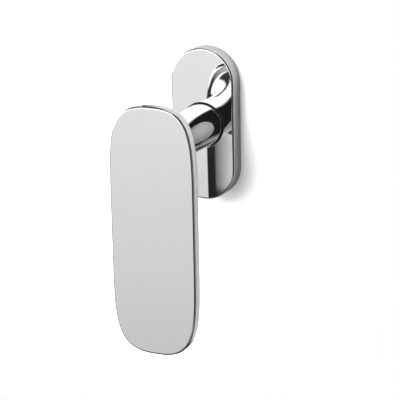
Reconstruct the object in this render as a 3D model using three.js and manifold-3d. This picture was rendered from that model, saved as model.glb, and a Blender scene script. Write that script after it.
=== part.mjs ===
// Tilt-and-turn window handle with a flat hanging grip, built as the separate pieces of the real handle.
// Units are millimetres. Row frame: +Z up, +X to the right, the handle stands out towards -Y.
// The pieces are drawn in the handle's own frame, x right, y up and z out of the sash, and one group turns them.
// The origin is the middle of the rosette's back, on the spindle's axis.

import * as THREE from 'three';
import { mergeVertices } from 'three/addons/utils/BufferGeometryUtils.js';
import Module from 'manifold-3d';

const wasm = await Module();
wasm.setup();

// Rosette (cover)
const ROSETTE_WIDTH = 30.7;
const ROSETTE_HEIGHT = 70;
const ROSETTE_FRONT = 8; // height of the front face above the sash
const ROSETTE_EDGE = 1; // edge radius
const COVER_WALL = 1.2;
const COVER_RIM = 0.15; // the rim stays this far off the sash
const COVER_HOLE_RADIUS = 10.3;
const COVER_HOLE_STEP = 0.6; // the guide ring's seat is this much wider than the hole
const COVER_LIP = 0.5; // metal left in front of the guide ring

// Grip and neck
const GRIP_WIDTH = 40.2;
const GRIP_LENGTH = 111.6;
const GRIP_THICKNESS = 6.2;
const GRIP_TOP = 19.9; // above the spindle's axis
const GRIP_FRONT = 60.2; // height of the front face above the sash
const GRIP_FRONT_EDGE = 0.7;
const GRIP_BACK_EDGE = 2.2;
const GRIP_SIDE_POWER = 2.83; // superellipse powers of the grip's outline
const GRIP_END_POWER = 5.9;
const NECK_RADIUS = 9.8; // at the rosette
const NECK_WAIST_RADIUS = 9.4; // where the flare begins
const NECK_FLARE_RADIUS = 17.3; // where the neck runs into the grip
const NECK_FLARE_LENGTH = 28;
const NECK_OVERLAP = 0.4; // the neck reaches this far into the grip
const NECK_SHOULDER = 7.25; // underside of the full neck

// Bearing and detent, seen along the axis from the sash outwards
const JOURNAL_RADIUS = 6.6;
const JOURNAL_START = 4.8;
const TAIL_RADIUS = 6.4;
const TAIL_FLAT = 5.2; // half distance across the tail's two flats
const TAIL_END = 0.3;
const RING_GROOVE = { from: 0.85, to: 2.05, radius: 5.75 };
const RING = { from: 1.1, to: 1.8, inner: 6.05, outer: 7.4 };
const DISC = { from: 2.3, to: 4.1, radius: 9 };
const WASHER = { from: 4.35, to: 4.65, inner: 6.7, outer: 8.4 };
const BUSH = { from: 5.0, flangeFrom: 6.2, flangeTo: 7.0, inner: 6.85, outer: 7.5, flange: 9.6 };
const NOTCH_RADIUS = 2;
const NOTCH_CENTRE = 10; // distance of a seated ball from the axis
const BALL_RADIUS = 1.75;
const BALL_LIFT = 0.9; // from the notch's seat to the disc's rim
const BALL_HEIGHT = 3.2;
const SPRING_END = 15.2;
const SPRING_COIL_RADIUS = 1.25;
const SPRING_WIRE = 0.25;
const SPRING_TURNS = 3;

// Spindle
const SPINDLE_SIDE = 7;
const SPINDLE_REACH = 35; // out of the back of the base plate
const SPINDLE_TOP = 21;
const SOCKET_SIDE = 7.5;
const SOCKET_TOP = 21.5;
const PIN_HEIGHT = 6.1;
const PIN_RADIUS = 0.9;
const PIN_LENGTH = 12.6;

// Base plate
const BASE_FRONT = 6.4;
const BASE_GAP = 0.35; // all round, to the inside of the cover
const RECESS_RADIUS = 9.6;
const RECESS_TOP = 4.9;
const POCKET_HALF_WIDTH = 2;
const POCKET_END = 15.5;
const POCKET_TOP = 5.2;
const SCREW_SPACING = 43;
const LUG_RADIUS = 5;
const LUG_LENGTH = 6;

// Retainer plate and its rivets
const RETAINER = { from: 0.1, to: 0.8, width: 24.6, height: 32, corner: 3, hole: 7.9 };
const RETAINER_SEAT = 1;
const RIVET_X = 10;
const RIVET_Y = 11;
const RIVET = { head: 1.7, shank: 0.9, end: 4.6 };

// Fixing screws, M5 countersunk
const SCREW = { head: 4.6, headTop: 6.1, headHeight: 2.6, shank: 2.4, end: -38.5, tip: 1.6 };
const SCREW_CLEARANCE = 0.35;
const DRIVE_SLOT = { length: 5, width: 1.1, depth: 1.5 };

// Cover clips
const CLIP_WIDTH = 7.4;
const CLIP_STEEL = 0.4;
const CLIP_SEAT = 30.4; // inner end of the clip's notch, from the axis

const GAP = 0.3;
const ROUND = 40; // facets round a big circle
const SMALL_ROUND = 20;

const CHROME = { color: 0xe2e4e6, roughness: 0.06, metalness: 1 };
const ZINC = { color: 0x9da0a1, roughness: 0.5, metalness: 0.85 };
const STEEL = { color: 0xb4b6b8, roughness: 0.35, metalness: 1 };
const SPRING_STEEL = { color: 0x8c8f92, roughness: 0.3, metalness: 1 };
const NYLON = { color: 0x1c1c1e, roughness: 0.55, metalness: 0 };

// ---- solids ----

// A closed three.js geometry as a solid that can be joined and cut.
function solid(geometry) {
  const bare = (geometry.index ? geometry.toNonIndexed() : geometry.clone());
  bare.deleteAttribute('normal');
  bare.deleteAttribute('uv');
  const merged = mergeVertices(bare, 1e-4);
  const vertProperties = Float32Array.from(merged.attributes.position.array);
  const triVerts = Uint32Array.from(merged.index.array);
  return new wasm.Manifold(new wasm.Mesh({ numProp: 3, vertProperties, triVerts }));
}

function geometryOf(body) {
  const mesh = body.getMesh();
  const geometry = new THREE.BufferGeometry();
  const points = new Float32Array(mesh.numVert * 3);
  for (let i = 0; i < mesh.numVert; i += 1) {
    for (let k = 0; k < 3; k += 1) {
      points[3 * i + k] = mesh.vertProperties[i * mesh.numProp + k];
    }
  }
  geometry.setAttribute('position', new THREE.BufferAttribute(points, 3));
  geometry.setIndex(Array.from(mesh.triVerts));
  geometry.computeVertexNormals();
  return geometry;
}

// A profile of [radius, height] points turned about the z axis. It starts and ends on the axis or closes on itself.
function turned(profile, facets = ROUND) {
  const points = profile.map(([radius, height]) => new THREE.Vector2(radius, height));
  return solid(new THREE.LatheGeometry(points, facets).rotateX(Math.PI / 2));
}

function disc(radius, from, to, facets = ROUND) {
  return turned([[0, from], [radius, from], [radius, to], [0, to]], facets);
}

function tube(inner, outer, from, to, facets = ROUND) {
  return turned([[inner, from], [outer, from], [outer, to], [inner, to], [inner, from]], facets);
}

function plate(shape, from, to, curveSegments = 12) {
  const geometry = new THREE.ExtrudeGeometry(shape, { depth: to - from, bevelEnabled: false, curveSegments });
  return solid(geometry.translate(0, 0, from));
}

// A plate with both edges rounded inside its outline.
function roundedPlate(shape, from, to, edge, segments, curveSegments = 12) {
  const geometry = new THREE.ExtrudeGeometry(shape, {
    depth: to - from - 2 * edge,
    bevelSize: edge,
    bevelThickness: edge,
    bevelOffset: -edge,
    bevelSegments: segments,
    curveSegments,
  });
  return solid(geometry.translate(0, 0, from + edge));
}

function block(width, height, from, to, x = 0, y = 0) {
  const geometry = new THREE.BoxGeometry(width, height, to - from);
  return solid(geometry.translate(x, y, (from + to) / 2));
}

// ---- outlines ----

function stadium(width, height) {
  const radius = width / 2;
  const straight = height / 2 - radius;
  const shape = new THREE.Shape();
  shape.absarc(0, straight, radius, 0, Math.PI, false);
  shape.absarc(0, -straight, radius, Math.PI, 2 * Math.PI, false);
  return shape;
}

function roundedRectangle(width, height, corner) {
  const x = width / 2 - corner;
  const y = height / 2 - corner;
  const shape = new THREE.Shape();
  shape.absarc(x, y, corner, 0, Math.PI / 2, false);
  shape.absarc(-x, y, corner, Math.PI / 2, Math.PI, false);
  shape.absarc(-x, -y, corner, Math.PI, 1.5 * Math.PI, false);
  shape.absarc(x, -y, corner, 1.5 * Math.PI, 2 * Math.PI, false);
  return shape;
}

// Superellipse: softly bulging sides that run into large round corners.
function gripOutline(count = 72) {
  const points = [];
  for (let i = 0; i < count; i += 1) {
    const angle = (2 * Math.PI * i) / count;
    const c = Math.cos(angle);
    const s = Math.sin(angle);
    const x = Math.sign(c) * Math.abs(c) ** (2 / GRIP_SIDE_POWER) * (GRIP_WIDTH / 2);
    const y = Math.sign(s) * Math.abs(s) ** (2 / GRIP_END_POWER) * (GRIP_LENGTH / 2);
    points.push(new THREE.Vector2(x, y + GRIP_TOP - GRIP_LENGTH / 2));
  }
  return new THREE.Shape(points);
}

// ---- turning set ----

// Flat grip: a crisp front edge and a wider round back edge.
function gripPlate() {
  const back = GRIP_FRONT - GRIP_THICKNESS;
  const crisp = roundedPlate(gripOutline(), back, GRIP_FRONT, GRIP_FRONT_EDGE, 2);
  const soft = roundedPlate(gripOutline(), back, GRIP_FRONT + 2 * GRIP_BACK_EDGE, GRIP_BACK_EDGE, 4);
  return crisp.intersect(soft);
}

// Round neck: a slight taper, then a long elliptical flare into the back of the grip.
function neck() {
  const back = GRIP_FRONT - GRIP_THICKNESS;
  const flareStart = back - NECK_FLARE_LENGTH;
  const flareWidth = NECK_FLARE_RADIUS - NECK_WAIST_RADIUS;
  const steps = 10;
  const profile = [[0, NECK_SHOULDER], [NECK_RADIUS, NECK_SHOULDER]];
  for (let i = 0; i <= steps; i += 1) {
    const angle = (Math.PI * i) / (2 * steps);
    const radius = NECK_FLARE_RADIUS - flareWidth * Math.cos(angle);
    profile.push([radius, flareStart + NECK_FLARE_LENGTH * Math.sin(angle)]);
  }
  profile.push([NECK_FLARE_RADIUS, back + NECK_OVERLAP]);
  profile.push([0, back + NECK_OVERLAP]);
  return turned(profile);
}

function tail() {
  const flats = block(2 * TAIL_FLAT, 2 * TAIL_RADIUS + 1, TAIL_END, JOURNAL_START);
  const stub = disc(TAIL_RADIUS, TAIL_END, JOURNAL_START).intersect(flats);
  const groove = tube(RING_GROOVE.radius, TAIL_RADIUS + 1, RING_GROOVE.from, RING_GROOVE.to);
  return stub.subtract(groove);
}

function crossHole(radius, length) {
  const geometry = new THREE.CylinderGeometry(radius, radius, length, SMALL_ROUND);
  return solid(geometry.rotateZ(Math.PI / 2).translate(0, 0, PIN_HEIGHT));
}

function handleLever() {
  const journal = disc(JOURNAL_RADIUS, JOURNAL_START, NECK_SHOULDER);
  const socket = block(SOCKET_SIDE, SOCKET_SIDE, TAIL_END - 1, SOCKET_TOP);
  const body = gripPlate().add(neck()).add(journal).add(tail());
  return body.subtract(socket).subtract(crossHole(PIN_RADIUS + GAP / 2, 2 * JOURNAL_RADIUS + 1));
}

function spindle() {
  const corner = 0.6;
  const half = SPINDLE_SIDE / 2;
  const outline = [];
  for (const [sx, sy, first] of [[1, 1, 0], [-1, 1, 1], [-1, -1, 0], [1, -1, 1]]) {
    const onSide = new THREE.Vector2(sx * half, sy * (half - corner));
    const onTop = new THREE.Vector2(sx * (half - corner), sy * half);
    outline.push(...(first ? [onTop, onSide] : [onSide, onTop]));
  }
  const bar = plate(new THREE.Shape(outline), -SPINDLE_REACH, SPINDLE_TOP);
  return bar.subtract(crossHole(PIN_RADIUS + GAP / 2, SPINDLE_SIDE + 1));
}

function spindlePin() {
  return crossHole(PIN_RADIUS, PIN_LENGTH);
}

function detentDisc() {
  const keyed = block(2 * (TAIL_FLAT + GAP), 2 * (TAIL_RADIUS + GAP) + 1, DISC.from - 1, DISC.to + 1);
  const key = disc(TAIL_RADIUS + GAP, DISC.from - 1, DISC.to + 1).intersect(keyed);
  let body = disc(DISC.radius, DISC.from, DISC.to, 48).subtract(key);
  for (let i = 0; i < 4; i += 1) {
    const angle = (i * Math.PI) / 2;
    const notch = disc(NOTCH_RADIUS, DISC.from - 1, DISC.to + 1, SMALL_ROUND);
    body = body.subtract(notch.translate([NOTCH_CENTRE * Math.cos(angle), NOTCH_CENTRE * Math.sin(angle), 0]));
  }
  return body;
}

function thrustWasher() {
  return tube(WASHER.inner, WASHER.outer, WASHER.from, WASHER.to, 32);
}

// Circlip with its gap turned sideways and two small pliers holes near its ends.
function retainingRing() {
  const middle = (RING.inner + RING.outer) / 2;
  const earAngle = 0.2;
  let body = tube(RING.inner, RING.outer, RING.from, RING.to);
  body = body.subtract(block(5, 1.4, RING.from - 1, RING.to + 1, middle, 0));
  for (const side of [-1, 1]) {
    const x = middle * Math.cos(earAngle);
    const y = side * (middle * Math.sin(earAngle) + 0.35);
    const hole = disc(0.35, RING.from - 1, RING.to + 1, 10);
    body = body.subtract(hole.translate([x, y, 0]));
  }
  return body;
}

// ---- fixed set ----

function screwSide(spot) {
  return (spot * SCREW_SPACING) / 2;
}

function countersunk(clearance) {
  const top = SCREW.headTop + (clearance ? 2 : 0);
  const under = SCREW.headTop - SCREW.headHeight;
  const head = SCREW.head + clearance;
  return turned([
    [0, top],
    [head, top],
    [head, SCREW.headTop - 0.4],
    [SCREW.shank + clearance, under],
    [SCREW.shank + clearance, clearance ? -LUG_LENGTH - 1 : SCREW.end + 2],
    ...(clearance ? [] : [[SCREW.tip, SCREW.end]]),
    [0, clearance ? -LUG_LENGTH - 1 : SCREW.end],
  ].reverse(), SMALL_ROUND + 4);
}

function fixingScrew(spot) {
  const { length, width, depth } = DRIVE_SLOT;
  const bottom = SCREW.headTop - depth;
  const top = SCREW.headTop + 1;
  const cross = block(length, width, bottom, top).add(block(width, length, bottom, top));
  return countersunk(0).subtract(cross).translate([0, screwSide(spot), 0]);
}

function rivetAt(sx, sy, clearance) {
  const seat = RETAINER.from - (clearance ? 1 : 0);
  const end = RIVET.end + clearance;
  const body = turned([
    [0, seat],
    [RIVET.head + clearance, seat],
    [RIVET.head + clearance, RETAINER.from + 0.25],
    [RIVET.shank + clearance, RETAINER.to],
    [RIVET.shank + clearance, end],
    [0, end],
  ], 14);
  return body.translate([sx * RIVET_X, sy * RIVET_Y, 0]);
}

const RIVET_SPOTS = [
  { name: 'retainer_rivet_upper_left', x: -1, y: 1 },
  { name: 'retainer_rivet_upper_right', x: 1, y: 1 },
  { name: 'retainer_rivet_lower_left', x: -1, y: -1 },
  { name: 'retainer_rivet_lower_right', x: 1, y: -1 },
];

const ENDS = [
  { name: 'upper', side: 1 },
  { name: 'lower', side: -1 },
];

// Radial pocket of a detent ball and its spring, open towards the disc.
function pocket(side) {
  const from = DISC.radius - 2;
  const middle = (side * (from + POCKET_END)) / 2;
  return block(2 * POCKET_HALF_WIDTH, POCKET_END - from, -1, POCKET_TOP, 0, middle);
}

function basePlate() {
  const inset = 2 * (COVER_WALL + BASE_GAP);
  let body = plate(stadium(ROSETTE_WIDTH - inset, ROSETTE_HEIGHT - inset), 0, BASE_FRONT, 16);
  for (const { side } of ENDS) {
    const lug = disc(LUG_RADIUS, -LUG_LENGTH, 1, 32);
    body = body.add(lug.translate([0, screwSide(side), 0]));
  }
  const grown = 2 * GAP;
  const seat = roundedRectangle(RETAINER.width + grown, RETAINER.height + grown, RETAINER.corner + GAP);
  body = body.subtract(plate(seat, -1, RETAINER_SEAT, 4));
  for (const { side } of ENDS) {
    const lug = tube(SCREW.shank + SCREW_CLEARANCE, LUG_RADIUS, -LUG_LENGTH, RETAINER_SEAT + 1, 32);
    body = body.add(lug.translate([0, screwSide(side), 0]));
    body = body.subtract(pocket(side));
    body = body.subtract(countersunk(SCREW_CLEARANCE).translate([0, screwSide(side), 0]));
    const notchDepth = ROSETTE_HEIGHT / 2 - CLIP_SEAT;
    const notchMiddle = side * (CLIP_SEAT + notchDepth / 2);
    body = body.subtract(block(CLIP_WIDTH + 2 * GAP, notchDepth, 1.2, BASE_FRONT + 1, 0, notchMiddle));
  }
  body = body.subtract(disc(RECESS_RADIUS, -1, RECESS_TOP));
  body = body.subtract(disc(BUSH.outer + GAP, RECESS_TOP - 1, BASE_FRONT + 1));
  body = body.subtract(disc(BUSH.flange + GAP, BUSH.flangeFrom - GAP / 2, BASE_FRONT + 1));
  for (const { x, y } of RIVET_SPOTS) {
    body = body.subtract(rivetAt(x, y, GAP));
  }
  return body;
}

function neckBush() {
  return turned([
    [BUSH.inner, BUSH.from],
    [BUSH.outer, BUSH.from],
    [BUSH.outer, BUSH.flangeFrom],
    [BUSH.flange, BUSH.flangeFrom],
    [BUSH.flange, BUSH.flangeTo],
    [BUSH.inner, BUSH.flangeTo],
    [BUSH.inner, BUSH.from],
  ]);
}

function retainerPlate() {
  const outline = roundedRectangle(RETAINER.width, RETAINER.height, RETAINER.corner);
  let body = plate(outline, RETAINER.from, RETAINER.to, 4);
  body = body.subtract(disc(RETAINER.hole, RETAINER.from - 1, RETAINER.to + 1, 32));
  for (const { side } of ENDS) {
    const relief = disc(LUG_RADIUS + GAP, RETAINER.from - 1, RETAINER.to + 1, 24);
    body = body.subtract(relief.translate([0, screwSide(side), 0]));
  }
  for (const { x, y } of RIVET_SPOTS) {
    body = body.subtract(rivetAt(x, y, GAP / 2));
  }
  return body;
}

function detentBall(side) {
  const geometry = new THREE.SphereGeometry(BALL_RADIUS, 14, 8);
  const distance = side * (NOTCH_CENTRE + BALL_LIFT);
  return solid(geometry.translate(0, distance, BALL_HEIGHT));
}

// Compression spring behind a ball: a helix of round wire along y.
class Helix extends THREE.Curve {
  constructor(side) {
    super();
    this.side = side;
    this.start = NOTCH_CENTRE + BALL_LIFT + BALL_RADIUS + SPRING_WIRE + 0.1;
    this.end = SPRING_END - SPRING_WIRE;
  }

  getPoint(t, target = new THREE.Vector3()) {
    const angle = 2 * Math.PI * SPRING_TURNS * t;
    const along = this.side * (this.start + (this.end - this.start) * t);
    const x = SPRING_COIL_RADIUS * Math.cos(angle);
    const z = BALL_HEIGHT + SPRING_COIL_RADIUS * Math.sin(angle);
    return target.set(x, along, z);
  }
}

function detentSpring(side) {
  const section = new THREE.Shape();
  section.absarc(0, 0, SPRING_WIRE, 0, 2 * Math.PI, false);
  const wire = new THREE.ExtrudeGeometry(section, {
    steps: SPRING_TURNS * 12,
    curveSegments: 3,
    extrudePath: new Helix(side),
  });
  return solid(wire);
}

// Outline of a bent strip of sheet: its centre line, moved half the thickness to either side.
function stripOutline(line, thickness) {
  const points = line.map(([x, y]) => new THREE.Vector2(x, y));
  const sides = [[], []];
  points.forEach((point, i) => {
    const before = points[Math.max(i - 1, 0)];
    const after = points[Math.min(i + 1, points.length - 1)];
    const along = after.clone().sub(before).normalize();
    const across = new THREE.Vector2(-along.y, along.x).multiplyScalar(thickness / 2);
    sides[0].push(point.clone().add(across));
    sides[1].unshift(point.clone().sub(across));
  });
  return new THREE.Shape([...sides[0], ...sides[1]]);
}

// Cover clip: a bent strip whose crest presses on the inside of the cover's end.
function coverClip(side) {
  const seat = CLIP_SEAT + GAP + CLIP_STEEL;
  const line = [[seat, 1.6], [seat, 5.2], [seat + 0.6, 6], [seat + 1.3, 5.7], [seat + 2.1, 3.9], [seat + 1.4, 1.9]];
  const options = { depth: CLIP_WIDTH, bevelEnabled: false };
  const strip = new THREE.ExtrudeGeometry(stripOutline(line, CLIP_STEEL), options);
  // The outline's first axis becomes y and its second z; the strip's width lies along x.
  strip.applyMatrix4(new THREE.Matrix4().makeBasis(
    new THREE.Vector3(0, 1, 0),
    new THREE.Vector3(0, 0, 1),
    new THREE.Vector3(1, 0, 0),
  ));
  strip.translate(-CLIP_WIDTH / 2, 0, 0);
  return solid(side > 0 ? strip : strip.rotateZ(Math.PI));
}

// ---- cover ----

function rosetteCover() {
  const top = ROSETTE_FRONT;
  const full = stadium(ROSETTE_WIDTH, ROSETTE_HEIGHT);
  const edged = roundedPlate(full, COVER_RIM - 2, top, ROSETTE_EDGE, 3, 18);
  const shell = edged.subtract(block(2 * ROSETTE_WIDTH, 2 * ROSETTE_HEIGHT, COVER_RIM - 4, COVER_RIM));
  const inside = stadium(ROSETTE_WIDTH - 2 * COVER_WALL, ROSETTE_HEIGHT - 2 * COVER_WALL);
  const seat = COVER_HOLE_RADIUS + COVER_HOLE_STEP;
  const hole = turned([
    [0, COVER_RIM],
    [seat, COVER_RIM],
    [seat, top - COVER_LIP],
    [COVER_HOLE_RADIUS, top - COVER_LIP],
    [COVER_HOLE_RADIUS, top - COVER_LIP / 2],
    [COVER_HOLE_RADIUS + 0.3, top + 0.05],
    [0, top + 0.05],
  ], 48);
  return shell.subtract(plate(inside, COVER_RIM - 1, top - COVER_WALL, 18)).subtract(hole);
}

function guideRing() {
  const top = ROSETTE_FRONT - COVER_LIP - 0.15;
  return tube(NECK_RADIUS + 0.2, COVER_HOLE_RADIUS + COVER_HOLE_STEP / 2, top - 0.5, top, 48);
}

// ---- assembly ----

const group = new THREE.Group();
const frame = new THREE.Group();
frame.rotation.x = Math.PI / 2; // the handle's z axis, out of the sash, becomes -Y
group.add(frame);

function place(name, body, finish) {
  const mesh = new THREE.Mesh(geometryOf(body), new THREE.MeshStandardMaterial(finish));
  mesh.name = name;
  frame.add(mesh);
}

place('handle_lever', handleLever(), CHROME);
place('spindle', spindle(), STEEL);
place('spindle_pin', spindlePin(), STEEL);
place('detent_disc', detentDisc(), STEEL);
place('thrust_washer', thrustWasher(), STEEL);
place('retaining_ring', retainingRing(), SPRING_STEEL);
place('base_plate', basePlate(), ZINC);
place('neck_bush', neckBush(), NYLON);
place('retainer_plate', retainerPlate(), STEEL);
for (const { name, x, y } of RIVET_SPOTS) {
  place(name, rivetAt(x, y, 0), STEEL);
}
for (const { name, side } of ENDS) {
  place(`fixing_screw_${name}`, fixingScrew(side), STEEL);
  place(`detent_ball_${name}`, detentBall(side), STEEL);
  place(`detent_spring_${name}`, detentSpring(side), SPRING_STEEL);
  place(`cover_clip_${name}`, coverClip(side), SPRING_STEEL);
}
place('rosette_cover', rosetteCover(), CHROME);
place('guide_ring', guideRing(), NYLON);

export default group;
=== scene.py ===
# Looks of the tilt-and-turn window handle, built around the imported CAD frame.
# Metres throughout; +Z up, +X right, the handle stands out of the sash towards -Y.

import math

import bmesh
import bpy
from mathutils import Matrix, Vector


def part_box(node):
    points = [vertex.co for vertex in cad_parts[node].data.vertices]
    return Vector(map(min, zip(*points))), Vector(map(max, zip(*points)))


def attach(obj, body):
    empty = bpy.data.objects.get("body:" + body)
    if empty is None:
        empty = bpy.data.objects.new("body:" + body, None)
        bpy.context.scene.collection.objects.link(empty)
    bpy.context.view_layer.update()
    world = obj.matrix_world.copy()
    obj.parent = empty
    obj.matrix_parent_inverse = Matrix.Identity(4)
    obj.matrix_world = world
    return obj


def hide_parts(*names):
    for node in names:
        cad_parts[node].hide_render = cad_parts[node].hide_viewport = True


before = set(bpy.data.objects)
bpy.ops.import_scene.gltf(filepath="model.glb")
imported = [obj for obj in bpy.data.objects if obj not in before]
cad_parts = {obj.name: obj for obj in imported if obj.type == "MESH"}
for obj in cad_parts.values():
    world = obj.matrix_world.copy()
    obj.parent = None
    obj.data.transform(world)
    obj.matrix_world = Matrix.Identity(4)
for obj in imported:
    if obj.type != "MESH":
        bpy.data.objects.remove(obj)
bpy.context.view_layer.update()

MM = 0.001

# Where the main pieces are, from the frame.
LEVER_LOW, LEVER_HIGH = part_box("handle_lever")
COVER_LOW, COVER_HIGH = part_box("rosette_cover")
SCREW_LOW, SCREW_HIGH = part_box("fixing_screw_upper")

# Grip: a superellipse plate with a crisp front edge and a wide round back edge. The powers set how square the
# outline is: across for the sides, along for the ends.
GRIP_HALF_WIDTH = (LEVER_HIGH.x - LEVER_LOW.x) / 2
GRIP_HALF_LENGTH = (LEVER_HIGH.z - LEVER_LOW.z) / 2
GRIP_CENTRE_Z = (LEVER_HIGH.z + LEVER_LOW.z) / 2
GRIP_FRONT = -LEVER_LOW.y
GRIP_THICKNESS = 6.2 * MM
GRIP_BACK = GRIP_FRONT - GRIP_THICKNESS
GRIP_SIDE_POWER = 2.83
GRIP_END_POWER = 5.9
GRIP_FRONT_EDGE = 1 * MM
GRIP_BACK_EDGE = 2.2 * MM
GRIP_BACK_EDGE_STEPS = 18

# Neck and tail, heights measured out of the sash.
NECK_RADIUS = 9.8 * MM
NECK_WAIST_RADIUS = 9.4 * MM
NECK_FLARE_RADIUS = 16.8 * MM
NECK_FLARE_HEIGHT = 28 * MM
NECK_FLARE_STEPS = 40
NECK_WAIST_STEPS = 24
NECK_SHOULDER = 7.25 * MM
JOURNAL_RADIUS = 6.6 * MM
JOURNAL_START = 4.8 * MM
TAIL_RADIUS = 6.4 * MM
TAIL_FLAT = 5.2 * MM
TAIL_CHAMFER = 0.15 * MM
TAIL_END = -LEVER_HIGH.y
GROOVE_FROM = 0.85 * MM
GROOVE_TO = 2.05 * MM
GROOVE_RADIUS = 5.75 * MM
SOCKET_HALF = 3.75 * MM
SOCKET_TOP = 21.5 * MM

# Rosette cover.
ROSETTE_HALF_WIDTH = COVER_HIGH.x
ROSETTE_HALF_HEIGHT = COVER_HIGH.z
ROSETTE_FRONT = -COVER_LOW.y
ROSETTE_RIM = -COVER_HIGH.y
ROSETTE_EDGE = 1 * MM
ROSETTE_RIM_EDGE = 0.15 * MM
COVER_WALL = 1.2 * MM
COVER_HOLE = 10.3 * MM
COVER_HOLE_EDGE = 0.3 * MM
COVER_HOLE_EDGE_STEPS = 6
COVER_HOLE_STEP = 0.6 * MM  # the hole is this much wider behind its lip
COVER_LIP = 0.5 * MM
COVER_CROWN_X = 374 * MM  # radius of the front face's gentle crown across
COVER_CROWN_Z = 2500 * MM  # and along

# Fixing screws, M5 countersunk with a cross recess.
SCREW_TOP = -SCREW_LOW.y
SCREW_END = -SCREW_HIGH.y
SCREW_AXIS = (SCREW_LOW.z + SCREW_HIGH.z) / 2
SCREW_HEAD = (SCREW_HIGH.x - SCREW_LOW.x) / 2
SCREW_AROUND = 96  # points round each ring of a screw
SCREW_EDGE = 0.12 * MM
SCREW_HEAD_RIM = 0.4 * MM
SCREW_HEAD_HEIGHT = 2.6 * MM
SCREW_SHANK = 2.4 * MM
SCREW_TIP = 1.6 * MM
SCREW_POINT = 2 * MM  # length of the tapered point
THREAD_PITCH = 0.8 * MM
THREAD_DEPTH = 0.45 * MM
THREAD_STEPS = 10  # rings a turn
THREAD_PLAIN_TURNS = 4  # turns missing below the head
THREAD_RUN_OUT_TURNS = 2
CROSS_LENGTH = 2.5 * MM  # half of one arm's length
CROSS_WIDTH = 0.55 * MM
CROSS_DEPTH = 1.5 * MM
CROSS_FLOOR_WIDTH = 0.6  # the recess's floor as a part of its mouth
CROSS_FLOOR_LENGTH = 0.5

AROUND = 512  # points round each big outline
FACE_RINGS = 16  # rings across a crowned face
EDGE_STEPS = 10  # steps across a small round edge
SUPPORT = 0.05 * MM  # a ring this far inside a round edge keeps the face beside it flat
NEVER_ZERO = 1e-9
MERGE_DISTANCE = 1e-7
SMOOTH_ANGLE = math.radians(32)  # flatter edges are shaded smooth
BEVEL_ANGLE = math.radians(50)  # sharper edges of the CAD nodes are softened
BEVEL_SEGMENTS = 2


# ---- mesh helpers ----

def row_point(x, y, height):
    """A point given in the handle's own frame: x right, y up, height out of the sash."""
    return Vector((x, -height, y))


def finish_mesh(name, vertices, faces, material, body, slot, replaced=()):
    """Makes the object, with its faces outwards and smooth between sharp edges, and rides it on its body."""
    mesh = bpy.data.meshes.new(name)
    mesh.from_pydata(vertices, [], faces)
    work = bmesh.new()
    work.from_mesh(mesh)
    bmesh.ops.remove_doubles(work, verts=work.verts, dist=MERGE_DISTANCE)
    bmesh.ops.recalc_face_normals(work, faces=work.faces)
    work.to_mesh(mesh)
    work.free()
    mesh.shade_smooth()
    mesh.set_sharp_from_angle(angle=SMOOTH_ANGLE)
    piece = bpy.data.objects.new(name, mesh)
    bpy.context.scene.collection.objects.link(piece)
    mesh.materials.append(material)
    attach(piece, body)
    if replaced:
        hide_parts(*replaced)
    return piece


def loft(rings, closed=False, caps=True):
    """Vertices and faces of a skin over rings of equally many points. closed joins the last to the first."""
    count = len(rings[0])
    vertices = [point for ring in rings for point in ring]
    faces = []
    for r in range(len(rings) if closed else len(rings) - 1):
        a = r * count
        b = ((r + 1) % len(rings)) * count
        for i in range(count):
            j = (i + 1) % count
            faces.append((a + i, a + j, b + j, b + i))
    if caps and not closed:
        faces.append(tuple(range(count)))
        faces.append(tuple(range((len(rings) - 1) * count, len(rings) * count)))
    return vertices, faces


def arc(centre_inset, centre_height, radius, start, end, steps):
    """Points (inset, height) on a round edge, angles in degrees."""
    points = []
    for k in range(steps + 1):
        angle = math.radians(start + (end - start) * k / steps)
        points.append((centre_inset + radius * math.cos(angle), centre_height + radius * math.sin(angle)))
    return points


def resample(points, count):
    """Equally spaced points along a closed outline, each with its outward normal."""
    lengths = [0.0]
    for i, point in enumerate(points):
        after = points[(i + 1) % len(points)]
        lengths.append(lengths[-1] + math.dist(point[0], after[0]))
    result = []
    k = 0
    for i in range(count):
        at = lengths[-1] * i / count
        while lengths[k + 1] < at:
            k += 1
        share = (at - lengths[k]) / (lengths[k + 1] - lengths[k])
        (p, n), (q, m) = points[k], points[(k + 1) % len(points)]
        place = tuple(a + (b - a) * share for a, b in zip(p, q))
        normal = Vector(n).lerp(Vector(m), share).normalized()
        result.append((place, normal))
    return result


def superellipse(half_width, half_height, side_power, end_power, centre_y):
    """Outline points with their outward normals."""
    points = []
    fine = 8 * AROUND
    for i in range(fine):
        angle = 2 * math.pi * i / fine
        c, s = math.cos(angle), math.sin(angle)
        u = math.copysign(abs(c) ** (2 / side_power), c)
        v = math.copysign(abs(s) ** (2 / end_power), s)
        normal = Vector((
            math.copysign(side_power * abs(u) ** (side_power - 1) / half_width, u),
            math.copysign(end_power * abs(v) ** (end_power - 1) / half_height, v),
        ))
        points.append(((u * half_width, v * half_height + centre_y), tuple(normal.normalized())))
    return points


def stadium(half_width, half_height):
    """Outline points with their outward normals: two half circles joined by straight sides."""
    straight = half_height - half_width
    fine = 4 * AROUND
    points = []
    for side, start in ((1, 0.0), (-1, math.pi)):
        for i in range(fine // 2 + 1):
            angle = start + math.pi * i / (fine // 2)
            c, s = math.cos(angle), math.sin(angle)
            points.append(((half_width * c, half_width * s + side * straight), (c, s)))
    return points


def ring_of(outline, inset, height):
    """A ring that follows the outline, moved inwards by inset."""
    return [row_point(p[0] - n.x * inset, p[1] - n.y * inset, height) for p, n in outline]


def angles_of(outline):
    """The direction of each outline point from the spindle's axis."""
    return [math.atan2(p[1], p[0]) for p, _ in outline]


def round_ring(angles, radius, height):
    """A ring about the spindle's axis. radius is a number or a function of the angle."""
    reach = radius if callable(radius) else (lambda angle: radius)
    return [row_point(reach(a) * math.cos(a), reach(a) * math.sin(a), height) for a in angles]


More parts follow.
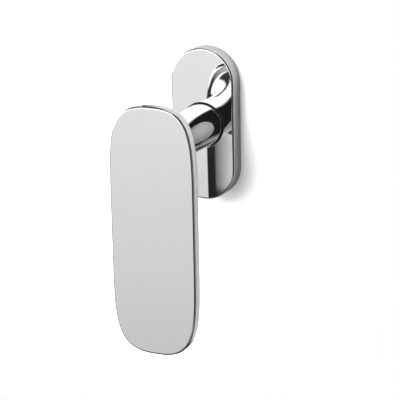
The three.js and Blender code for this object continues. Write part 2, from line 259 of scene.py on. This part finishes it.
# ---- shader helpers ----

def noise(nodes, links, place, scale, detail, stretch=(1, 1, 1)):
    mapping = nodes.new("ShaderNodeMapping")
    mapping.inputs["Scale"].default_value = stretch
    links.new(place, mapping.inputs["Vector"])
    texture = nodes.new("ShaderNodeTexNoise")
    texture.inputs["Scale"].default_value = scale
    texture.inputs["Detail"].default_value = detail
    links.new(mapping.outputs["Vector"], texture.inputs["Vector"])
    return texture.outputs["Fac"]


def spread(nodes, links, value, low, high, start=0.35, end=0.65):
    """Maps start to end, by default the usual range of a noise, to low to high."""
    ramp = nodes.new("ShaderNodeMapRange")
    ramp.inputs["From Min"].default_value = start
    ramp.inputs["From Max"].default_value = end
    ramp.inputs["To Min"].default_value = low
    ramp.inputs["To Max"].default_value = high
    links.new(value, ramp.inputs["Value"])
    return ramp.outputs["Result"]


def mixed(nodes, links, factor, first, second):
    """A colour between two, each of them a colour, a grey number or a socket."""
    mix = nodes.new("ShaderNodeMix")
    mix.data_type = "RGBA"
    for name, value in (("Factor", factor), ("A", first), ("B", second)):
        if isinstance(value, bpy.types.NodeSocket):
            links.new(value, mix.inputs[name])
        elif isinstance(value, tuple):
            mix.inputs[name].default_value = (*value, 1)
        else:
            mix.inputs[name].default_value = (value, value, value, 1)
    return mix.outputs["Result"]


def calculated(nodes, links, operation, first, second=None):
    """A Math node. first and second are sockets or numbers."""
    node = nodes.new("ShaderNodeMath")
    node.operation = operation
    for socket, value in zip(node.inputs, (first, second)):
        if isinstance(value, (int, float)):
            socket.default_value = value
        elif value is not None:
            links.new(value, socket)
    return node.outputs["Value"]


def soft_edge(nodes, links, value, middle, softness, rising=True):
    """A smooth step from 0 to 1 about the middle, or from 1 to 0."""
    ramp = nodes.new("ShaderNodeMapRange")
    ramp.interpolation_type = "SMOOTHSTEP"
    ramp.inputs["From Min"].default_value = middle - softness
    ramp.inputs["From Max"].default_value = middle + softness
    ramp.inputs["To Min"].default_value = 0.0 if rising else 1.0
    ramp.inputs["To Max"].default_value = 1.0 if rising else 0.0
    links.new(value, ramp.inputs["Value"])
    return ramp.outputs["Result"]


# ---- materials ----

# Each: the plain colour, metallic and roughness; the noise of the tone and the two colours it runs between;
# the noise of the sheen and the roughness it runs between; and the noise of the fine relief, its strength and
# its depth. A noise is its scale, its detail and its stretch along x, y and z.
FINISHES = {
    # Bright chrome: a clean mirror with the faintest polishing haze and handling smudges.
    "polished_chrome": dict(
        color=(0.9, 0.905, 0.92), metallic=1.0, roughness=0.03,
        tone=(25, 2.0), colors=((0.893, 0.899, 0.914), (0.907, 0.912, 0.925)),
        sheen=(60, 4.0, (1, 1, 0.35)), sheens=(0.022, 0.045),
        relief=(90, 2.0), strength=0.012, depth=0.0002,
    ),
    # Die-cast zinc: dull, slightly blotchy and finely grained.
    "cast_zinc": dict(
        color=(0.5, 0.51, 0.52), metallic=0.9, roughness=0.5,
        tone=(140, 5.0), colors=((0.42, 0.43, 0.44), (0.6, 0.61, 0.61)),
        sheen=(140, 5.0), sheens=(0.42, 0.6),
        relief=(2600, 3.0), strength=0.25, depth=0.0002,
    ),
    # Zinc-plated steel: fine drawing lines along the spindle's axis and a faint blue and yellow tint.
    "plated_steel": dict(
        color=(0.66, 0.67, 0.68), metallic=1.0, roughness=0.26,
        tone=(180, 3.0), colors=((0.62, 0.65, 0.7), (0.72, 0.7, 0.64)),
        sheen=(2500, 2.0, (1, 0.04, 1)), sheens=(0.2, 0.36),
        relief=(2500, 2.0, (1, 0.04, 1)), strength=0.12, depth=0.0001,
    ),
    # Oiled spring steel: dark, with soft streaks.
    "spring_steel": dict(
        color=(0.36, 0.37, 0.39), metallic=1.0, roughness=0.3,
        tone=(900, 3.0, (0.2, 1, 1)), colors=((0.26, 0.27, 0.3), (0.44, 0.45, 0.46)),
        sheen=(900, 3.0, (0.2, 1, 1)), sheens=(0.24, 0.38),
    ),
    # Moulded nylon: almost black, satin, with a fine moulded grain.
    "black_nylon": dict(
        color=(0.02, 0.02, 0.022), metallic=0.0, roughness=0.5,
        tone=(1800, 4.0), colors=((0.016, 0.016, 0.018), (0.028, 0.028, 0.03)),
        sheen=(1800, 4.0), sheens=(0.42, 0.58),
        relief=(1800, 4.0), strength=0.15, depth=0.0001,
    ),
}


def finish_material(
    name, color, metallic, roughness, tone, colors, sheen, sheens, relief=None, strength=0, depth=0
):
    """A finish of the table above as a material."""
    material = bpy.data.materials.new(name)
    material.use_nodes = True
    nodes, links = material.node_tree.nodes, material.node_tree.links
    shader = nodes["Principled BSDF"]
    shader.inputs["Base Color"].default_value = (*color, 1)
    shader.inputs["Metallic"].default_value = metallic
    shader.inputs["Roughness"].default_value = roughness
    place = nodes.new("ShaderNodeTexCoord").outputs["Object"]
    share = spread(nodes, links, noise(nodes, links, place, *tone), 0, 1)
    links.new(mixed(nodes, links, share, *colors), shader.inputs["Base Color"])
    rough = spread(nodes, links, noise(nodes, links, place, *sheen), *sheens)
    links.new(rough, shader.inputs["Roughness"])
    if relief:
        bump = nodes.new("ShaderNodeBump")
        bump.inputs["Strength"].default_value = strength
        bump.inputs["Distance"].default_value = depth
        links.new(noise(nodes, links, place, *relief), bump.inputs["Height"])
        links.new(bump.outputs["Normal"], shader.inputs["Normal"])
    return material


# ---- pieces ----

def lever_piece(chrome):
    shape = superellipse(GRIP_HALF_WIDTH, GRIP_HALF_LENGTH, GRIP_SIDE_POWER, GRIP_END_POWER, GRIP_CENTRE_Z)
    outline = resample(shape, AROUND)
    angles = angles_of(outline)
    front = arc(GRIP_FRONT_EDGE, GRIP_FRONT - GRIP_FRONT_EDGE, GRIP_FRONT_EDGE, 90, 180, EDGE_STEPS)
    back = arc(GRIP_BACK_EDGE, GRIP_BACK + GRIP_BACK_EDGE, GRIP_BACK_EDGE, 180, 270, GRIP_BACK_EDGE_STEPS)
    edge = [(GRIP_FRONT_EDGE + SUPPORT, GRIP_FRONT), *front, *back, (GRIP_BACK_EDGE + SUPPORT, GRIP_BACK)]
    rings = [ring_of(outline, inset, height) for inset, height in edge]
    rings += neck_rings(angles)
    rings += tail_rings(angles)
    return finish_mesh("grip_and_neck", *loft(rings), chrome, "lever", "polished_chrome", ["handle_lever"])


def neck_rings(angles):
    """From the back of the grip down to the shoulder: an elliptical flare, a waist and the full radius."""
    rings = [round_ring(angles, NECK_FLARE_RADIUS + SUPPORT, GRIP_BACK)]
    flare_width = NECK_FLARE_RADIUS - NECK_WAIST_RADIUS
    for k in range(NECK_FLARE_STEPS + 1):
        angle = 0.5 * math.pi * k / NECK_FLARE_STEPS
        radius = NECK_FLARE_RADIUS - flare_width * math.sin(angle)
        height = GRIP_BACK - NECK_FLARE_HEIGHT * (1 - math.cos(angle))
        rings.append(round_ring(angles, radius, height))
    waist = GRIP_BACK - NECK_FLARE_HEIGHT
    for k in range(1, NECK_WAIST_STEPS + 1):
        share = k / NECK_WAIST_STEPS
        swell = share * share * (3 - 2 * share)
        radius = NECK_WAIST_RADIUS + (NECK_RADIUS - NECK_WAIST_RADIUS) * swell
        rings.append(round_ring(angles, radius, waist + (NECK_SHOULDER - waist) * share))
    return rings


def tail_rings(angles):
    """Shoulder, journal, tail with its two flats and ring groove, and the square socket."""
    def flat_sided(radius):
        return lambda a: min(radius, TAIL_FLAT / max(abs(math.cos(a)), NEVER_ZERO))

    def square(a):
        return SOCKET_HALF / max(abs(math.cos(a)), abs(math.sin(a)))

    steps = [
        (JOURNAL_RADIUS, NECK_SHOULDER),
        (JOURNAL_RADIUS, JOURNAL_START),
        (flat_sided(TAIL_RADIUS), JOURNAL_START),
        (flat_sided(TAIL_RADIUS), GROOVE_TO),
        (flat_sided(GROOVE_RADIUS), GROOVE_TO),
        (flat_sided(GROOVE_RADIUS), GROOVE_FROM),
        (flat_sided(TAIL_RADIUS), GROOVE_FROM),
        (flat_sided(TAIL_RADIUS), TAIL_END + TAIL_CHAMFER),
        (flat_sided(TAIL_RADIUS - TAIL_CHAMFER), TAIL_END),
        (square, TAIL_END),
        (square, SOCKET_TOP),
    ]
    return [round_ring(angles, radius, height) for radius, height in steps]


def cover_piece(chrome):
    outline = resample(stadium(ROSETTE_HALF_WIDTH, ROSETTE_HALF_HEIGHT), AROUND)
    angles = angles_of(outline)
    top_edge = arc(ROSETTE_EDGE, ROSETTE_FRONT - ROSETTE_EDGE, ROSETTE_EDGE, 90, 180, EDGE_STEPS)
    rim_edge = [(0, ROSETTE_RIM + ROSETTE_RIM_EDGE), (ROSETTE_RIM_EDGE, ROSETTE_RIM)]
    inner_top = ROSETTE_FRONT - COVER_WALL
    outside = [(ROSETTE_EDGE + SUPPORT, ROSETTE_FRONT), *top_edge, *rim_edge]
    inside = [(COVER_WALL, ROSETTE_RIM), (COVER_WALL, inner_top)]
    rings = [ring_of(outline, inset, height) for inset, height in outside + inside]
    rings += hole_rings(angles, inner_top)
    hole_rim = rings[-1]
    for k in range(1, FACE_RINGS):
        rings.append([a.lerp(b, k / FACE_RINGS) for a, b in zip(hole_rim, rings[0])])
    vertices, faces = loft(rings, closed=True)
    vertices = [crowned(point) for point in vertices]
    return finish_mesh(
        "rosette_shell", vertices, faces, chrome, "cover", "polished_chrome", ["rosette_cover"]
    )


def hole_rings(angles, inner_top):
    """The stepped hole from the inside of the cover to its front, with a round edge."""
    steps = [
        (COVER_HOLE + COVER_HOLE_STEP, inner_top),
        (COVER_HOLE + COVER_HOLE_STEP, ROSETTE_FRONT - COVER_LIP),
        (COVER_HOLE, ROSETTE_FRONT - COVER_LIP),
    ]
    for k in range(COVER_HOLE_EDGE_STEPS + 1):
        angle = 0.5 * math.pi * k / COVER_HOLE_EDGE_STEPS
        radius = COVER_HOLE + COVER_HOLE_EDGE * (1 - math.cos(angle))
        height = ROSETTE_FRONT - COVER_HOLE_EDGE * (1 - math.sin(angle))
        steps.append((radius, height))
    steps.append((COVER_HOLE + COVER_HOLE_EDGE + SUPPORT, ROSETTE_FRONT))
    return [round_ring(angles, radius, height) for radius, height in steps]


def crowned(point):
    """Lets the rosette's front fall away gently from its middle."""
    share = (-point.y - ROSETTE_RIM) / (ROSETTE_FRONT - ROSETTE_RIM)
    drop = point.x ** 2 / (2 * COVER_CROWN_X) + point.z ** 2 / (2 * COVER_CROWN_Z)
    return Vector((point.x, point.y + drop * share, point.z))


def threaded(radius, height, depth):
    """Radius of a V thread at each angle of a ring."""
    def reach(angle):
        turn = (height / THREAD_PITCH - angle / (2 * math.pi)) % 1
        return radius - depth * abs(2 * turn - 1)
    return reach


def cross(width, length):
    """Reach of a cross at each angle. width and length are half of an arm's."""
    def reach(angle):
        c, s = abs(math.cos(angle)), abs(math.sin(angle))
        first = min(length / max(c, NEVER_ZERO), width / max(s, NEVER_ZERO))
        second = min(width / max(c, NEVER_ZERO), length / max(s, NEVER_ZERO))
        return max(first, second)
    return reach


def screw_piece(steel, where, side):
    """A countersunk screw: cross recess, head, a plain neck, a rolled thread and a tapered point."""
    angles = [2 * math.pi * k / SCREW_AROUND for k in range(SCREW_AROUND)]
    head_low = SCREW_TOP - SCREW_HEAD_HEIGHT
    floor = cross(CROSS_FLOOR_WIDTH * CROSS_WIDTH, CROSS_FLOOR_LENGTH * CROSS_LENGTH)
    steps = [
        (floor, SCREW_TOP - CROSS_DEPTH),
        (cross(CROSS_WIDTH, CROSS_LENGTH), SCREW_TOP - SCREW_EDGE),
        (cross(CROSS_WIDTH + SCREW_EDGE, CROSS_LENGTH + SCREW_EDGE), SCREW_TOP),
        (SCREW_HEAD - SCREW_EDGE, SCREW_TOP),
        (SCREW_HEAD, SCREW_TOP - SCREW_EDGE),
        (SCREW_HEAD, SCREW_TOP - SCREW_HEAD_RIM),
        (SCREW_SHANK, head_low),
        *thread_steps(head_low - THREAD_PLAIN_TURNS * THREAD_PITCH),
    ]
    rings = [round_ring(angles, radius, height) for radius, height in steps]
    rings = [[point + Vector((0, 0, side * SCREW_AXIS)) for point in ring] for ring in rings]
    name = f"fixing_screw_{where}"
    return finish_mesh(f"threaded_screw_{where}", *loft(rings), steel, "base", "steel", [name])


def thread_steps(start):
    """Radius and height of each ring of the thread, from its start to the screw's point."""
    count = int((start - SCREW_END) / THREAD_PITCH * THREAD_STEPS)
    steps = []
    for k in range(count + 1):
        height = start + (SCREW_END - start) * k / count
        run_out = min(1, k / (THREAD_RUN_OUT_TURNS * THREAD_STEPS))
        taper = min(1, (height - SCREW_END) / SCREW_POINT)
        radius = SCREW_TIP + (SCREW_SHANK - SCREW_TIP) * taper
        steps.append((threaded(radius, height, THREAD_DEPTH * run_out * taper), height))
    return steps


# Carried-over CAD nodes: a name or its start, the finish and the width of the softened edge.
CAD_FINISHES = (
    ("spindle", "plated_steel", 0.2 * MM),
    ("detent_disc", "plated_steel", 0.1 * MM),
    ("thrust_washer", "plated_steel", 0.1 * MM),
    ("retainer_plate", "plated_steel", 0.08 * MM),
    ("retainer_rivet", "plated_steel", 0.1 * MM),
    ("base_plate", "cast_zinc", 0.2 * MM),
    ("retaining_ring", "spring_steel", 0.08 * MM),
    ("cover_clip", "spring_steel", 0.08 * MM),
    ("neck_bush", "black_nylon", 0.08 * MM),
    ("guide_ring", "black_nylon", 0.08 * MM),
    ("detent_ball", "plated_steel", 0),
    ("detent_spring", "spring_steel", 0),
)


def finish_cad(node, material, edge):
    """A CAD node's own material, softened edges and smooth shading between sharp ones."""
    mesh = node.data
    mesh.shade_smooth()
    mesh.set_sharp_from_angle(angle=SMOOTH_ANGLE)
    mesh.materials.clear()
    mesh.materials.append(material)
    bevel = node.modifiers.new("softened_edges", "BEVEL")
    bevel.limit_method = "ANGLE"
    bevel.angle_limit = BEVEL_ANGLE
    bevel.width = edge
    bevel.segments = BEVEL_SEGMENTS
    bevel.harden_normals = True


# ---- stage ----

WHITE = 0.9
WALL_HALF_HEIGHT = 0.13
WALL_RIGHT = 0.08
WALL_HOLE = 0.85 * MM  # the hole in the wall is this much smaller than the rosette, all round
WALL_LEFT_END = -0.13
WALL_LEFT = -0.037  # the mirrored wall's left edge
# Painted shade: the chrome sees the wall in this darker grey, not the white that the camera sees.
WALL_PAINTED_SHADE_IN_CHROME = 0.28
# Painted shade in the chrome: the wall's mirrored grey falls off to a part of itself at its left, and at its
# foot left of the handle's right side. Each: where the fall ends and where it begins, and the part left.
PAINTED_SHADE_LEFT = (-0.037, -0.022, 0.2)
PAINTED_SHADE_FOOT = (-0.0665, -0.0615, 0.12)
PAINTED_SHADE_RIGHT_END = (0.008, 0.020, 0.12)
FLOOR_DEPTH = 0.16  # below the grip's lower end
FLOOR_HALF = 6.0

# The studio as seen from the handle, by direction in degrees: azimuth 0 is straight out of the sash and
# positive to the right, elevation 0 is level. The base shade runs from below to above.
SKY_BASE = (
    (-90, 0.05), (-40, 0.06), (-21, 0.63), (-16.2, 0.75), (-13, 0.83),
    (-8, 0.88), (-3, 1.4), (36, 1.4), (80, 0.9),
)
SKY_STRENGTH = 1.4
# Each panel: azimuth from and to, elevation from and to, softness, brightness.
SKY_PANELS = (
    (44, 190, -60, 50, 6, 0.13),
    (-190, -40, 25, 76, 4, 0.04),
    (-190, 190, 42, 76, 5, 0.05),
    (6, 50, -28, 50, 4, 0.012),
    (-190, -70, -60, -5, 2, 0.02),
)

# The key light: where it stands as seen from the handle, its side and its power in watts.
KEY_AZIMUTH, KEY_ELEVATION = math.radians(-36), math.radians(30)
KEY_DISTANCE = 1.4
KEY_SIZE = 1.6
KEY_POWER = 68

CAMERA_POSITION = (0.332215, -0.705380, 0.194063)
CAMERA_AZIMUTH = math.radians(25.6)
CAMERA_ELEVATION = math.radians(16.5373)
CAMERA_ROLL = math.radians(-1.1593)
CAMERA_LENS = 159.2
CAMERA_SENSOR = 36
CAMERA_CLIP = (0.01, 50)


def studio_world():
    world = bpy.data.worlds.new("studio")
    world.use_nodes = True
    bpy.context.scene.world = world
    nodes, links = world.node_tree.nodes, world.node_tree.links
    background = nodes["Background"]
    azimuth, elevation = sky_direction(nodes, links)
    light = sky_base(nodes, links, elevation)
    for panel in SKY_PANELS:
        light = sky_panel(nodes, links, light, azimuth, elevation, *panel)
    path = nodes.new("ShaderNodeLightPath")
    seen = mixed(nodes, links, path.outputs["Is Camera Ray"], light, 1)
    links.new(seen, background.inputs["Color"])
    background.inputs["Strength"].default_value = SKY_STRENGTH


def sky_direction(nodes, links):
    """Azimuth and elevation in degrees."""
    place = nodes.new("ShaderNodeTexCoord")
    axes = nodes.new("ShaderNodeSeparateXYZ")
    links.new(place.outputs["Generated"], axes.inputs["Vector"])
    outward = calculated(nodes, links, "MULTIPLY", axes.outputs["Y"], -1)
    azimuth = calculated(nodes, links, "ARCTAN2", axes.outputs["X"], outward)
    elevation = calculated(nodes, links, "ARCSINE", axes.outputs["Z"])
    degree = math.degrees(1)
    return tuple(calculated(nodes, links, "MULTIPLY", angle, degree) for angle in (azimuth, elevation))


def sky_base(nodes, links, elevation):
    ramp = nodes.new("ShaderNodeValToRGB")
    stops = ramp.color_ramp.elements
    while len(stops) < len(SKY_BASE):
        stops.new(0.5)
    for stop, (angle, shade) in zip(stops, SKY_BASE):
        stop.position = (angle + 90) / 180
        stop.color = (shade / SKY_STRENGTH,) * 3 + (1,)
    share = calculated(nodes, links, "ADD", elevation, 90)
    share = calculated(nodes, links, "DIVIDE", share, 180)
    links.new(share, ramp.inputs["Fac"])
    return ramp.outputs["Color"]


def sky_panel(nodes, links, light, azimuth, elevation, left, right, low, high, softness, shade):
    """Lays one soft-edged panel over the light so far."""
    mask = soft_edge(nodes, links, azimuth, left, softness)
    for angle, end, rising in ((azimuth, right, False), (elevation, low, True), (elevation, high, False)):
        side = soft_edge(nodes, links, angle, end, softness, rising)
        mask = calculated(nodes, links, "MULTIPLY", mask, side)
    return mixed(nodes, links, mask, light, shade / SKY_STRENGTH)


def paper(name):
    """An empty material with a matt shader: material, nodes, links and the shader."""
    material = bpy.data.materials.new(name)
    material.use_nodes = True
    nodes, links = material.node_tree.nodes, material.node_tree.links
    nodes.clear()
    matt = nodes.new("ShaderNodeBsdfDiffuse")
    matt.inputs["Color"].default_value = (WHITE, WHITE, WHITE, 1)
    return material, nodes, links, matt


def clear_from_behind(nodes, links, front):
    """The sheet is only there from its front, so that it never hides the handle from behind."""
    clear = nodes.new("ShaderNodeBsdfTransparent")
    mix = nodes.new("ShaderNodeMixShader")
    side = nodes.new("ShaderNodeNewGeometry")
    output = nodes.new("ShaderNodeOutputMaterial")
    links.new(side.outputs["Backfacing"], mix.inputs["Fac"])
    links.new(front, mix.inputs[1])
    links.new(clear.outputs["BSDF"], mix.inputs[2])
    links.new(mix.outputs["Shader"], output.inputs["Surface"])


def wall_paper():
    """Matt white. The chrome sees it with painted shade: darker, and falling off at its left and its foot."""
    material, nodes, links, matt = paper("wall_paper")
    path = nodes.new("ShaderNodeLightPath")
    place = nodes.new("ShaderNodeTexCoord")
    axes = nodes.new("ShaderNodeSeparateXYZ")
    links.new(place.outputs["Object"], axes.inputs["Vector"])
    # Painted shade: the grey that the chrome sees falls off further towards the wall's left and its foot.
    painted_shade_fades = []
    for axis, (end, start, least) in (("Z", PAINTED_SHADE_FOOT), ("X", PAINTED_SHADE_RIGHT_END), ("X", PAINTED_SHADE_LEFT)):
        painted_shade_fades.append(spread(nodes, links, axes.outputs[axis], least, 1, end, start))
    foot = calculated(nodes, links, "MAXIMUM", painted_shade_fades[0], painted_shade_fades[1])
    share = calculated(nodes, links, "MULTIPLY", foot, painted_shade_fades[2])
    mirrored = mixed(nodes, links, share, 0, WALL_PAINTED_SHADE_IN_CHROME)
    # Painted shade: glossy rays see the darker painted grey, every other ray sees the white.
    seen = mixed(nodes, links, path.outputs["Is Glossy Ray"], WHITE, mirrored)
    links.new(seen, matt.inputs["Color"])
    clear_from_behind(nodes, links, matt.outputs["BSDF"])
    return material


def floor_paper():
    """Matt white from above for every ray but the camera's, which sees plain white."""
    material, nodes, links, matt = paper("floor_paper")
    plain = nodes.new("ShaderNodeEmission")
    path = nodes.new("ShaderNodeLightPath")
    seen = nodes.new("ShaderNodeMixShader")
    links.new(path.outputs["Is Camera Ray"], seen.inputs["Fac"])
    links.new(matt.outputs["BSDF"], seen.inputs[1])
    links.new(plain.outputs["Emission"], seen.inputs[2])
    clear_from_behind(nodes, links, seen.outputs["Shader"])
    return material


def sheet(name, vertices, faces, material, mirrored=True):
    mesh = bpy.data.meshes.new(name)
    mesh.from_pydata(vertices, [], faces)
    mesh.materials.append(material)
    piece = bpy.data.objects.new(name, mesh)
    piece.visible_glossy = mirrored
    bpy.context.scene.collection.objects.link(piece)


def wall_with_hole():
    """Vertices and faces of the wall, open behind the rosette, where the sash's own bores would be."""
    outline = resample(stadium(ROSETTE_HALF_WIDTH, ROSETTE_HALF_HEIGHT), AROUND)
    hole = ring_of(outline, WALL_HOLE, 0)
    edge = []
    for angle in angles_of(outline):
        c, s = math.cos(angle), math.sin(angle)
        across = (WALL_RIGHT if c > 0 else -WALL_LEFT) / max(abs(c), NEVER_ZERO)
        reach = min(across, WALL_HALF_HEIGHT / max(abs(s), NEVER_ZERO))
        edge.append(row_point(reach * c, reach * s, 0))
    for x in (WALL_LEFT, WALL_RIGHT):
        for y in (-WALL_HALF_HEIGHT, WALL_HALF_HEIGHT):
            corner = row_point(x, y, 0)
            nearest = min(range(len(edge)), key=lambda i: (edge[i] - corner).length)
            edge[nearest] = corner
    return loft([edge, hole], caps=False)


def studio():
    wall = wall_paper()
    sheet("wall", *wall_with_hole(), wall)
    h, left, end = WALL_HALF_HEIGHT, WALL_LEFT, WALL_LEFT_END
    corners = [(end, 0, -h), (left, 0, -h), (left, 0, h), (end, 0, h)]
    sheet("wall_left", corners, [(0, 1, 2, 3)], wall, mirrored=False)
    f, z = FLOOR_HALF, LEVER_LOW.z - FLOOR_DEPTH
    corners = [(-f, -f, z), (f, -f, z), (f, f, z), (-f, f, z)]
    sheet("floor", corners, [(0, 1, 2, 3)], floor_paper(), mirrored=False)


def direction(azimuth, elevation):
    """The unit vector from the handle towards a direction of the studio."""
    return Vector((
        math.sin(azimuth) * math.cos(elevation),
        -math.cos(azimuth) * math.cos(elevation),
        math.sin(elevation),
    ))


def key_light():
    """A square soft light looking at the handle, invisible in the chrome."""
    data = bpy.data.lights.new("key", "AREA")
    data.shape = "SQUARE"
    data.size = KEY_SIZE
    data.energy = KEY_POWER
    lamp = bpy.data.objects.new("key", data)
    bpy.context.scene.collection.objects.link(lamp)
    away = direction(KEY_AZIMUTH, KEY_ELEVATION)
    lamp.location = away * KEY_DISTANCE
    lamp.rotation_euler = away.to_track_quat("Z", "Y").to_euler()
    lamp.visible_glossy = False


def camera():
    data = bpy.data.cameras.new("camera")
    data.lens = CAMERA_LENS
    data.sensor_width = CAMERA_SENSOR
    data.clip_start, data.clip_end = CAMERA_CLIP
    holder = bpy.data.objects.new("camera", data)
    bpy.context.scene.collection.objects.link(holder)
    back = direction(CAMERA_AZIMUTH, CAMERA_ELEVATION)
    right = Vector((math.cos(CAMERA_AZIMUTH), math.sin(CAMERA_AZIMUTH), 0))
    up = back.cross(right)
    rolled_right = math.cos(CAMERA_ROLL) * right + math.sin(CAMERA_ROLL) * up
    rolled_up = back.cross(rolled_right)
    turn = Matrix((rolled_right, rolled_up, back)).transposed().to_4x4()
    holder.matrix_world = Matrix.Translation(Vector(CAMERA_POSITION)) @ turn
    bpy.context.scene.camera = holder


# ---- the handle in its studio ----

materials = {name: finish_material(name, **finish) for name, finish in FINISHES.items()}
camera()
studio_world()
studio()
key_light()
bpy.context.scene.view_settings.view_transform = "Standard"
lever_piece(materials["polished_chrome"])
cover_piece(materials["polished_chrome"])
screw_piece(materials["plated_steel"], "upper", 1)
screw_piece(materials["plated_steel"], "lower", -1)
for start, finish, edge_width in CAD_FINISHES:
    for node_name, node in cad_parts.items():
        if node_name.startswith(start):
            finish_cad(node, materials[finish], edge_width)
